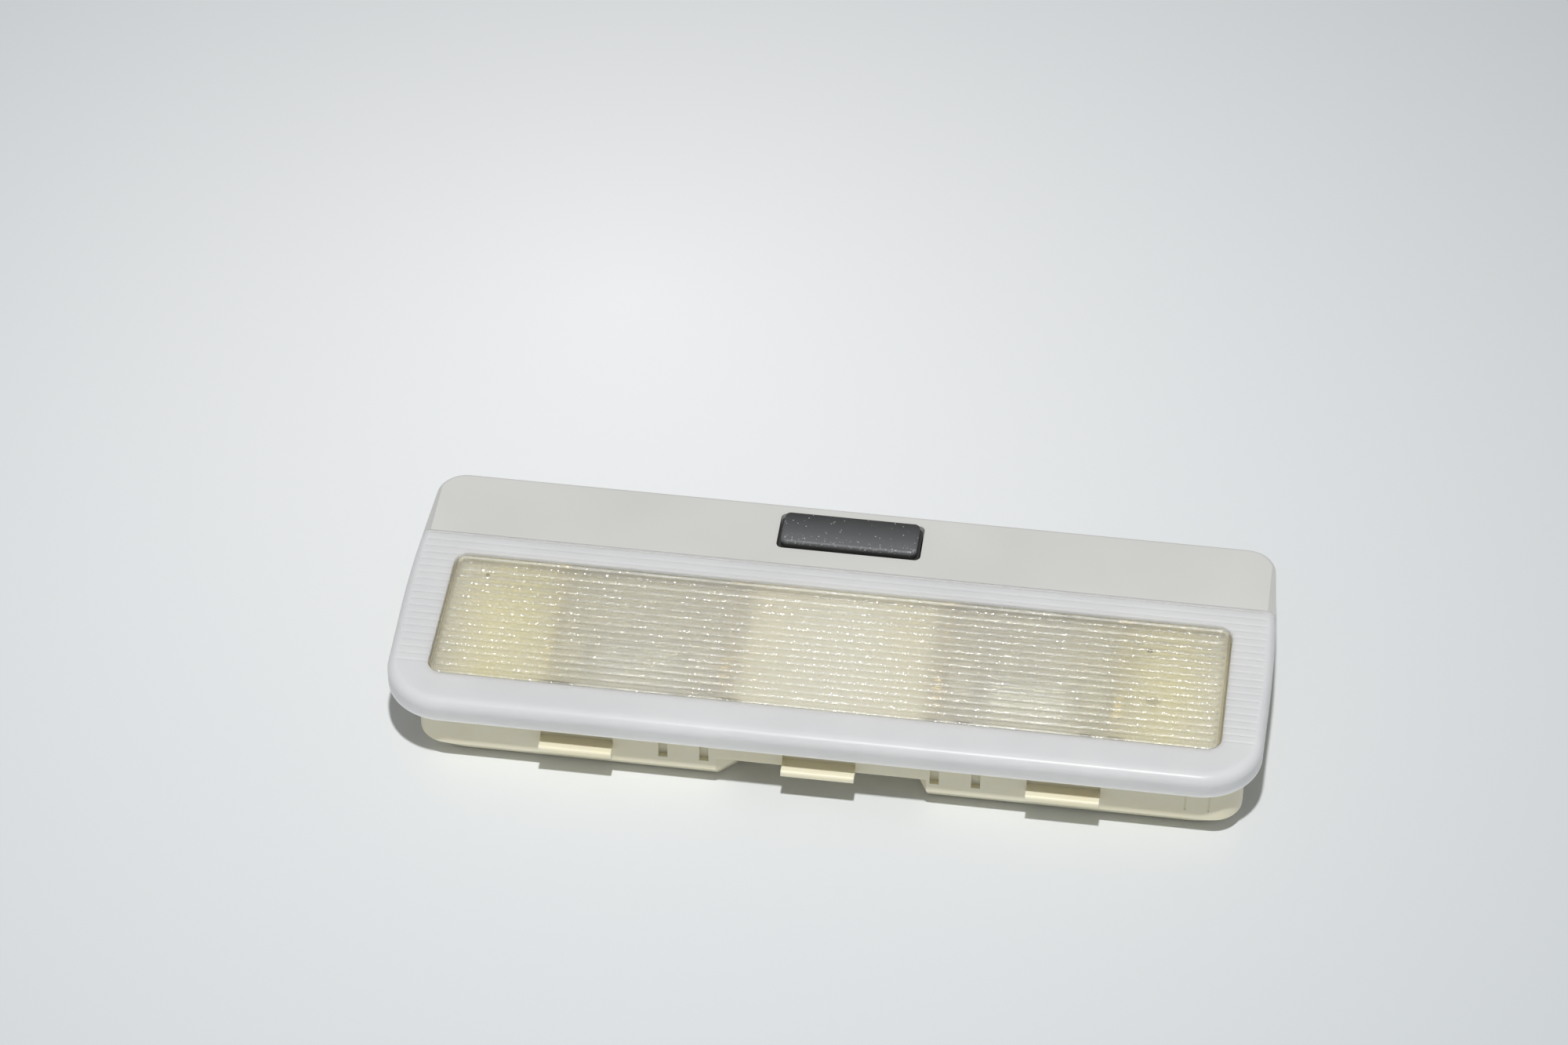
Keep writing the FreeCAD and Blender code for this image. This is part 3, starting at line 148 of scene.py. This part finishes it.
# Highlight painted as a pale strip along the lens frame's rear edge: where it starts and where it is
# full, from the frame's rear edge
PAINTED_EDGE_HIGHLIGHT_START = 0.62 * MM
PAINTED_EDGE_HIGHLIGHT_FULL = 0.5 * MM
PAINTED_EDGE_HIGHLIGHT_COLOUR = (0.95, 0.95, 0.93, 1.0)

# Wear of the button and a painted sheen on its top, paler towards its front: where it starts and is full
# below the top, and where it is full from the front edge
TOP_BAND_START = 1.1 * MM
TOP_BAND_FULL = 0.35 * MM
WEAR_AND_SHEEN_FRONT = 1.2 * MM
WEAR_AND_SHEEN_COLOUR = (0.12, 0.121, 0.126, 1.0)

# Dust on the button, and scuffs on its front edge: how far apart, and where scuffs start and are full
DUST_PITCH = 1.0 * MM
DUST_COLOUR = (0.45, 0.45, 0.44, 1.0)
SCUFF_PITCH = 0.6 * MM
SCUFF_START = 2.6 * MM
SCUFF_FULL = 1.0 * MM
SCUFF_COLOUR = (0.28, 0.28, 0.28, 1.0)

# Metals: dark and light tone, range of roughness, and scale of the marks along X, Y and Z.
# Where that scale is small, the marks are drawn out.
METALS = {
    "reflector_sheet": ((0.39, 0.372, 0.325), (0.46, 0.44, 0.385), (0.76, 0.88), (0.05, 1.0, 1.0)),
    "contact_brass": ((0.66, 0.47, 0.19), (0.82, 0.64, 0.32), (0.24, 0.42), (0.08, 1.0, 1.0)),
    "spring_steel": ((0.50, 0.50, 0.51), (0.64, 0.64, 0.65), (0.22, 0.4), (0.1, 1.0, 1.0)),
    "cap_metal": ((0.31, 0.295, 0.26), (0.37, 0.355, 0.32), (0.68, 0.8), (1.0, 0.1, 1.0)),
    "filament_wire": ((0.32, 0.32, 0.33), (0.46, 0.46, 0.46), (0.3, 0.5), (1.0, 1.0, 1.0)),
}

# Places of a mix node's colour sockets, which share their names with its sockets for numbers
MIX_BELOW = 6
MIX_ABOVE = 7
MIX_RESULT = 2


class Finish:
    """A material with one Principled shader, and short ways to feed it from nodes."""

    def __init__(self, name, **constants):
        self.material = bpy.data.materials.new(name)
        self.material.use_nodes = True
        self.tree = self.material.node_tree
        self.shader = self.tree.nodes["Principled BSDF"]
        self.output = self.tree.nodes["Material Output"]
        self.place = self.add("ShaderNodeTexCoord").outputs["Object"]
        for socket, value in constants.items():
            self.shader.inputs[socket.replace("_", " ")].default_value = value

    def add(self, kind, **values):
        """Add a node and set its plain inputs."""
        node = self.tree.nodes.new(kind)
        for socket, value in values.items():
            node.inputs[socket].default_value = value
        return node

    def link(self, source, target):
        self.tree.links.new(source, target)

    def stretched(self, scale):
        """Return the place on the part, scaled along each axis."""
        mapping = self.add("ShaderNodeMapping", Scale=scale)
        self.link(self.place, mapping.inputs["Vector"])
        return mapping.outputs["Vector"]

    def grain(self, size, detail=2.0, stretch=(1.0, 1.0, 1.0)):
        """Return noise whose features measure about a size in metres."""
        texture = self.add("ShaderNodeTexNoise", Scale=1.0 / size, Detail=detail)
        self.link(self.stretched(stretch), texture.inputs["Vector"])
        return texture.outputs["Fac"]

    def cells(self, size):
        """Return the distance to the nearest of scattered points, about a size apart."""
        texture = self.add("ShaderNodeTexVoronoi", Scale=1.0 / size)
        self.link(self.place, texture.inputs["Vector"])
        return texture.outputs["Distance"]

    def along(self, axis, start, end):
        """Return a factor that rises from 0 to 1 between two places along an axis."""
        parts = self.add("ShaderNodeSeparateXYZ")
        self.link(self.place, parts.inputs["Vector"])
        return self.span(parts.outputs[axis], 0.0, 1.0, source=(start, end))

    def spot(self, middle, reach):
        """Return a factor that rises from 0 at the edge of a round place to 1 at its middle."""
        shift = self.add("ShaderNodeMapping", Location=middle, Scale=reach)
        shift.vector_type = "TEXTURE"
        self.link(self.place, shift.inputs["Vector"])
        ball = self.add("ShaderNodeTexGradient")
        ball.gradient_type = "SPHERICAL"
        self.link(shift.outputs["Vector"], ball.inputs["Vector"])
        return ball.outputs["Fac"]

    def product(self, first, second):
        """Return one factor times another."""
        node = self.add("ShaderNodeMath")
        node.operation = "MULTIPLY"
        self.link(first, node.inputs[0])
        self.link(second, node.inputs[1])
        return node.outputs["Value"]

    def ramp(self, factor, *stops):
        """Return a colour that runs through stops of (position, colour)."""
        node = self.add("ShaderNodeValToRGB")
        elements = node.color_ramp.elements
        while len(elements) < len(stops):
            elements.new(1.0)
        for element, (position, colour) in zip(elements, stops):
            element.position = position
            element.color = (*colour[:3], 1.0)
        self.link(factor, node.inputs["Fac"])
        return node.outputs["Color"]

    def span(self, factor, low, high, source=(0.3, 0.7)):
        """Return a factor mapped to a range."""
        node = self.add("ShaderNodeMapRange")
        values = (*source, low, high)
        for socket, value in zip(("From Min", "From Max", "To Min", "To Max"), values):
            node.inputs[socket].default_value = value
        self.link(factor, node.inputs["Value"])
        return node.outputs["Result"]

    def over(self, factor, below, above):
        """Return a plain colour laid over another where the factor is high."""
        node = self.add("ShaderNodeMix")
        node.data_type = "RGBA"
        self.link(factor, node.inputs["Factor"])
        self.link(below, node.inputs[MIX_BELOW])
        node.inputs[MIX_ABOVE].default_value = above
        return node.outputs[MIX_RESULT]

    def colour(self, source):
        self.link(source, self.shader.inputs["Base Color"])

    def roughness(self, source):
        self.link(source, self.shader.inputs["Roughness"])

    def bump(self, *layers):
        """Raise the surface by layers of (height source, depth in metres)."""
        below = None
        for source, depth in layers:
            node = self.add("ShaderNodeBump", Strength=1.0, Distance=depth)
            self.link(source, node.inputs["Height"])
            if below is not None:
                self.link(below, node.inputs["Normal"])
            below = node.outputs["Normal"]
        self.link(below, self.shader.inputs["Normal"])

    def coat_bump(self, source, depth):
        """Raise the clear coat alone by a height source."""
        node = self.add("ShaderNodeBump", Strength=1.0, Distance=depth)
        self.link(source, node.inputs["Height"])
        self.link(node.outputs["Normal"], self.shader.inputs["Coat Normal"])

    def lets_light_through(self, tint):
        """Let light from lamps and walls pass the surface, so that it reaches what is behind it."""
        path = self.add("ShaderNodeLightPath")
        clear = self.add("ShaderNodeBsdfTransparent", Color=tint)
        passing = self.add("ShaderNodeMath")
        passing.operation = "MAXIMUM"
        self.link(path.outputs["Is Shadow Ray"], passing.inputs[0])
        self.link(path.outputs["Is Diffuse Ray"], passing.inputs[1])
        mix = self.add("ShaderNodeMixShader")
        self.link(passing.outputs["Value"], mix.inputs["Fac"])
        self.link(self.shader.outputs["BSDF"], mix.inputs[1])
        self.link(clear.outputs["BSDF"], mix.inputs[2])
        self.link(mix.outputs["Shader"], self.output.inputs["Surface"])


def cream_plastic():
    """Warm moulded plastic, a little yellowed and slightly see-through."""
    finish = Finish(
        "cream_plastic",
        Subsurface_Weight=0.35,
        Subsurface_Scale=1.5 * MM,
        Subsurface_Radius=(1.0, 0.85, 0.45),
        IOR=1.5,
    )
    cloud = finish.grain(14 * MM, detail=3.0)
    finish.colour(finish.ramp(cloud, (0.3, (0.84, 0.785, 0.59)), (0.7, (0.88, 0.835, 0.66))))
    finish.roughness(finish.span(finish.grain(1.2 * MM), 0.34, 0.46))
    finish.bump((finish.grain(0.5 * MM), 0.012 * MM), (finish.grain(6 * MM), 0.02 * MM))
    return finish.material


def grey_plastic():
    """Fine-grained matte plastic of the switch panel."""
    finish = Finish("grey_plastic", IOR=1.46)
    cloud = finish.grain(22 * MM, detail=2.0)
    finish.colour(finish.ramp(cloud, (0.3, (0.62, 0.615, 0.585)), (0.7, (0.655, 0.65, 0.625))))
    finish.roughness(finish.span(finish.grain(0.5 * MM), 0.5, 0.64))
    finish.bump((finish.grain(0.28 * MM, detail=3.0), 0.018 * MM))
    return finish.material


def opal_plastic():
    """Milky glossy plastic of the lens frame, with a highlight painted along its rear edge."""
    finish = Finish(
        "opal_plastic",
        Subsurface_Weight=1.0,
        Subsurface_Scale=3.0 * MM,
        Subsurface_Radius=(1.0, 1.0, 1.05),
        Specular_IOR_Level=0.2,
        IOR=1.5,
    )
    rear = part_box("lens_frame")[1].y
    cloud = finish.grain(18 * MM, detail=2.0)
    milky = finish.ramp(cloud, (0.3, (0.66, 0.662, 0.665)), (0.7, (0.70, 0.702, 0.705)))
    # Painted highlight: a pale strip where the rear edge catches the light.
    painted_edge_highlight = finish.along("Y", rear - PAINTED_EDGE_HIGHLIGHT_START, rear - PAINTED_EDGE_HIGHLIGHT_FULL)
    finish.colour(finish.over(painted_edge_highlight, milky, PAINTED_EDGE_HIGHLIGHT_COLOUR))
    finish.roughness(finish.span(finish.grain(1.5 * MM, detail=3.0), 0.28, 0.34))
    finish.bump((finish.grain(5 * MM), 0.02 * MM))
    return finish.material


def clear_plastic():
    """Clear pebbled plastic of the ribbed window, so hazed that the bulbs hardly show."""
    finish = Finish(
        "clear_plastic",
        Transmission_Weight=0.84,
        IOR=1.49,
        Coat_Weight=0.95,
        Coat_Roughness=0.13,
    )
    haze = finish.span(finish.grain(9 * MM, detail=3.0), 0.0, 0.35)
    # Painted light and shade: tones of what shows through, laid along the window and mirrored about its
    # middle.
    mirrored = tuple((-place, tone) for place, tone in reversed(PAINTED_SHOW_THROUGH_TONES))
    first, last = PAINTED_SHOW_THROUGH_TONES[0][0], mirrored[-1][0]
    stops = [((place - first) / (last - first), tone) for place, tone in PAINTED_SHOW_THROUGH_TONES + mirrored]
    painted_show_through = finish.over(haze, finish.ramp(finish.along("X", first, last), *stops), HAZE_COLOUR)
    pebbles = finish.grain(0.4 * MM, detail=2.0)
    # Painted highlight: glints of the pebbles, as pale flecks.
    painted_glints = finish.ramp(pebbles, (0.55, (0, 0, 0)), (0.62, (1, 1, 1)))
    surface = finish.over(painted_glints, painted_show_through, PAINTED_GLINT_COLOUR)
    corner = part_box("lens_window")[1]
    rear = corner.y - FLANGE_SIDE
    end = corner.x - FLANGE_END
    # Painted highlight: a pale line on the crest of the rear bead.
    front_of_bead_highlight = finish.along("Y", rear - PAINTED_BEAD_HIGHLIGHT_START - EDGE_BLUR, rear - PAINTED_BEAD_HIGHLIGHT_START)
    rear_of_bead_highlight = finish.along("Y", rear - PAINTED_BEAD_HIGHLIGHT_END + EDGE_BLUR, rear - PAINTED_BEAD_HIGHLIGHT_END)
    surface = finish.over(finish.product(front_of_bead_highlight, rear_of_bead_highlight), surface, PAINTED_BEAD_HIGHLIGHT_COLOUR)
    # Painted shade: the gap to the frame, as an olive line along the rear edge and both ends.
    for axis, edge in (("Y", rear), ("X", end), ("X", -end)):
        inside = edge - math.copysign(GAP_SHADE_WIDTH, edge)
        blur = math.copysign(EDGE_BLUR, edge)
        surface = finish.over(finish.along(axis, inside - blur, inside), surface, GAP_SHADE_COLOUR)
    # Dark marks: specks of dirt, and streaks that darken the front edge.
    for x, y, reach_x, reach_y, cover in DARK_MARKS:
        spot = finish.spot((x * MM, y * MM, corner.z), (reach_x * MM, reach_y * MM, DARK_MARK_DEPTH * MM))
        mark = finish.ramp(spot, (0.0, (0, 0, 0)), (DARK_MARK_FULL, (cover, cover, cover)))
        surface = finish.over(mark, surface, DARK_MARK_COLOUR)
    finish.colour(surface)
    finish.roughness(finish.span(finish.grain(0.7 * MM), 0.36, 0.48))
    finish.bump((pebbles, 0.03 * MM))
    finish.coat_bump(finish.grain(0.55 * MM, detail=1.0), 0.2 * MM)
    finish.lets_light_through(WINDOW_TINT)
    return finish.material


def dark_plastic():
    """Dark grey satin plastic of the button, paler towards its front edge from wear and a painted sheen,
    dusty and scuffed.
    """
    finish = Finish("dark_plastic", IOR=1.5)
    low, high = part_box("switch_button")
    cloud = finish.grain(6 * MM, detail=3.0)
    plain = finish.ramp(cloud, (0.3, (0.022, 0.021, 0.020)), (0.7, (0.03, 0.029, 0.028)))
    top = finish.along("Z", high.z - TOP_BAND_START, high.z - TOP_BAND_FULL)
    # Wear and painted sheen: the top grows paler from its rear towards its front edge.
    forward = finish.along("Y", high.y, low.y + WEAR_AND_SHEEN_FRONT)
    worn_and_sheen = finish.ramp(finish.product(top, forward), (0.1, (0, 0, 0)), (1.0, (1, 1, 1)))
    matt = finish.over(worn_and_sheen, plain, WEAR_AND_SHEEN_COLOUR)
    dust = finish.ramp(finish.cells(DUST_PITCH), (0.1, (1, 1, 1)), (0.15, (0, 0, 0)))
    dusty = finish.over(finish.product(dust, top), matt, DUST_COLOUR)
    edge = finish.along("Y", low.y + SCUFF_START, low.y + SCUFF_FULL)
    scuffs = finish.ramp(finish.cells(SCUFF_PITCH), (0.2, (1, 1, 1)), (0.3, (0, 0, 0)))
    scuffed = finish.product(scuffs, finish.product(edge, top))
    finish.colour(finish.over(scuffed, dusty, SCUFF_COLOUR))
    finish.roughness(finish.span(finish.grain(0.6 * MM), 0.46, 0.6))
    finish.bump((finish.grain(0.25 * MM, detail=2.0), 0.014 * MM))
    return finish.material


def switch_plastic():
    """Pale technical plastic of the switch insert."""
    finish = Finish("switch_plastic", IOR=1.5)
    cloud = finish.grain(5 * MM, detail=2.0)
    finish.colour(finish.ramp(cloud, (0.3, (0.68, 0.65, 0.56)), (0.7, (0.75, 0.73, 0.64))))
    finish.roughness(finish.span(finish.grain(0.8 * MM), 0.4, 0.55))
    finish.bump((finish.grain(0.4 * MM), 0.01 * MM))
    return finish.material


def sheet_metal(name, dark, light, roughness, grain_stretch):
    """Metal with fine marks that run the way it was rolled or drawn."""
    finish = Finish(name, Metallic=1.0)
    marks = finish.grain(0.4 * MM, detail=3.0, stretch=grain_stretch)
    cloud = finish.grain(7 * MM, detail=3.0)
    finish.colour(finish.ramp(cloud, (0.3, dark), (0.7, light)))
    finish.roughness(finish.span(marks, *roughness))
    finish.bump((marks, 0.004 * MM))
    return finish.material


def lamp_glass():
    """Clear thin glass of the bulbs."""
    finish = Finish("lamp_glass", Transmission_Weight=1.0, IOR=1.47)
    cloud = finish.grain(5 * MM, detail=1.0)
    finish.colour(finish.ramp(cloud, (0.3, (0.94, 0.96, 0.955)), (0.7, (0.98, 0.985, 0.98))))
    finish.roughness(finish.span(finish.grain(2 * MM), 0.0, 0.05))
    finish.lets_light_through((0.96, 0.97, 0.97, 1.0))
    return finish.material


FINISHES = {
    "cream_plastic": cream_plastic,
    "grey_plastic": grey_plastic,
    "opal_plastic": opal_plastic,
    "clear_plastic": clear_plastic,
    "dark_plastic": dark_plastic,
    "switch_plastic": switch_plastic,
    "lamp_glass": lamp_glass,
}


def ribbed_window(material):
    """Build the window's pane with its ribs and pebbles, on its flange, in place of the plain one."""
    low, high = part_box("lens_window")
    half_length = (high.x - low.x) / 2 - FLANGE_END
    front = low.y + FLANGE_SIDE
    rear = high.y - FLANGE_SIDE
    top = low.z + FLANGE_HEIGHT + PANE_HEIGHT
    rows = round((rear - front) / RIB_PITCH * RIB_STEPS)
    columns = round(2 * half_length / PEBBLE_STEP)

    def half_width(depth, span, length, corner):
        """Return how far a row reaches along X in a rectangle with round corners."""
        edge = min(depth, span - depth)
        if edge >= corner:
            return length
        return length - corner + math.sqrt(max(0.0, corner ** 2 - (corner - edge) ** 2))

    def level(grow_end, grow_side, height):
        """Return one grid of points, grown past the pane, at heights given by a function."""
        span = rear - front + 2 * grow_side
        points = []
        for i in range(rows + 1):
            depth = span * i / rows
            y = front - grow_side + depth
            reach = half_width(depth, span, half_length + grow_end, WINDOW_CORNER + grow_end)
            for j in range(columns + 1):
                x = reach * (2 * j / columns - 1)
                points.append((x, y, height(x, y)))
        return points

    def ribbed(x, y):
        edge = min(y - front, rear - y, half_length - abs(x))
        fade = min(1.0, max(0.0, (edge - RIB_FADE_START) / (RIB_FADE_END - RIB_FADE_START)))
        rib = abs(math.sin(math.pi * (y - RIB_START) / RIB_PITCH))
        pebble = noise.noise(Vector((x, y, 0.0)) / PEBBLE_SIZE)
        bead = BEAD_HEIGHT * max(0.0, 1.0 - ((edge - BEAD_PLACE) / BEAD_WIDTH) ** 2)
        return top + bead + fade * (RIB_HEIGHT * (rib - 0.5) + PEBBLE_HEIGHT * pebble)

    flange_top = low.z + FLANGE_HEIGHT
    across = columns + 1
    border = list(range(across))
    border += [i * across + columns for i in range(1, rows + 1)]
    border += [rows * across + j for j in range(columns - 1, -1, -1)]
    border += [i * across for i in range(rows - 1, 0, -1)]
    vertices = level(0.0, 0.0, ribbed)
    faces = []
    for i in range(rows):
        for j in range(columns):
            a = i * across + j
            faces.append((a, a + 1, a + across + 1, a + across))
    rings = [border]
    for grow_end, grow_side, z in (
        (0.0, 0.0, flange_top),
        (FLANGE_END, FLANGE_SIDE, flange_top),
        (FLANGE_END, FLANGE_SIDE, low.z),
    ):
        grid = level(grow_end, grow_side, lambda x, y: z)
        rings.append([len(vertices) + k for k in range(len(border))])
        vertices += [grid[k] for k in border]
    faces.append(rings[-1][::-1])
    for upper, lower in zip(rings, rings[1:]):
        for k in range(len(border)):
            n = (k + 1) % len(border)
            faces.append((lower[k], lower[n], upper[n], upper[k]))
    mesh = bpy.data.meshes.new("ribbed_window")
    mesh.from_pydata(vertices, [], faces)
    for face in mesh.polygons:
        face.use_smooth = face.index < rows * columns
    mesh.materials.append(material)
    piece = bpy.data.objects.new("ribbed_window", mesh)
    bpy.context.scene.collection.objects.link(piece)
    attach(piece, "lamp")
    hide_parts("lens_window")


def shortening_spring():
    """Put a copy of the coil spring, with its foot on the switch insert, on the lamp in place of the
    imported one.
    """
    piece = bpy.data.objects.new("coil_spring", NODES["button_spring"].data.copy())
    bpy.context.scene.collection.objects.link(piece)
    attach(piece, "lamp")
    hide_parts("button_spring")
    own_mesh(piece)


def dress_nodes():
    """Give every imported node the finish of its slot."""
    made = {slot: make() for slot, make in FINISHES.items()}
    made.update({slot: sheet_metal(slot, *look) for slot, look in METALS.items()})
    for part in frame["record"]["subparts"]:
        materials = NODES[part["node"]].data.materials
        materials.clear()
        materials.append(made[part["material_slot"]])
    return made


def table():
    """Lay the pale table top under the lamp, with a pool of light painted into its colour, brightest
    where the photograph shows it.
    """
    half = TABLE_SIZE / 2
    corners = [(-half, -half, 0), (half, -half, 0), (half, half, 0), (-half, half, 0)]
    mesh = bpy.data.meshes.new("table")
    mesh.from_pydata(corners, [], [(0, 1, 2, 3)])
    top = bpy.data.objects.new("table", mesh)
    bpy.context.scene.collection.objects.link(top)
    finish = Finish("table_top", Roughness=0.3, IOR=1.4)
    # Painted light: the table is paler where the pool of light lies, and darker towards its edge.
    painted_light_pool = finish.spot(TABLE_PAINTED_LIGHT_PLACE, (TABLE_PAINTED_LIGHT_REACH,) * 3)
    finish.colour(finish.ramp(painted_light_pool, (0.0, TABLE_EDGE), (1.0, TABLE_PAINTED_LIGHT_COLOUR)))
    mesh.materials.append(finish.material)


def room():
    """Surround the lamp with soft pale light, seen as near white."""
    world = bpy.data.worlds.new("room")
    bpy.context.scene.world = world
    world.use_nodes = True
    tree = world.node_tree
    lit = tree.nodes["Background"]
    lit.inputs["Color"].default_value = ROOM_COLOUR
    lit.inputs["Strength"].default_value = ROOM_STRENGTH
    seen = tree.nodes.new("ShaderNodeBackground")
    seen.inputs["Color"].default_value = TABLE_EDGE
    seen.inputs["Strength"].default_value = 1.0
    path = tree.nodes.new("ShaderNodeLightPath")
    viewed = path.outputs["Is Camera Ray"]
    for ray in ("Is Glossy Ray", "Is Transmission Ray"):
        either = tree.nodes.new("ShaderNodeMath")
        either.operation = "MAXIMUM"
        tree.links.new(viewed, either.inputs[0])
        tree.links.new(path.outputs[ray], either.inputs[1])
        viewed = either.outputs["Value"]
    mix = tree.nodes.new("ShaderNodeMixShader")
    tree.links.new(viewed, mix.inputs["Fac"])
    tree.links.new(lit.outputs["Background"], mix.inputs[1])
    tree.links.new(seen.outputs["Background"], mix.inputs[2])
    tree.links.new(mix.outputs["Shader"], tree.nodes["World Output"].inputs["Surface"])


def key_light():
    """Hang the main lamp above the table, towards the front."""
    data = bpy.data.lights.new("key", "AREA")
    data.shape = "DISK"
    data.size = KEY_SIZE
    data.energy = KEY_POWER
    lamp = bpy.data.objects.new("key", data)
    way = KEY_WAY.normalized()
    lamp.location = way * KEY_DISTANCE
    lamp.rotation_mode = "QUATERNION"
    lamp.rotation_quaternion = way.to_track_quat("Z", "Y")
    bpy.context.scene.collection.objects.link(lamp)


def camera():
    """Stand the camera where the photograph was taken."""
    data = bpy.data.cameras.new("camera")
    data.lens = CAMERA_LENS
    data.sensor_width = CAMERA_SENSOR
    stand = bpy.data.objects.new("camera", data)
    stand.location = CAMERA_PLACE
    stand.rotation_mode = "QUATERNION"
    stand.rotation_quaternion = CAMERA_BACK.to_track_quat("Z", "Y")
    bpy.context.scene.collection.objects.link(stand)
    bpy.context.scene.camera = stand


finishes = dress_nodes()
ribbed_window(finishes["clear_plastic"])
shortening_spring()
table()
room()
key_light()
camera()
bpy.context.scene.view_settings.view_transform = "Standard"
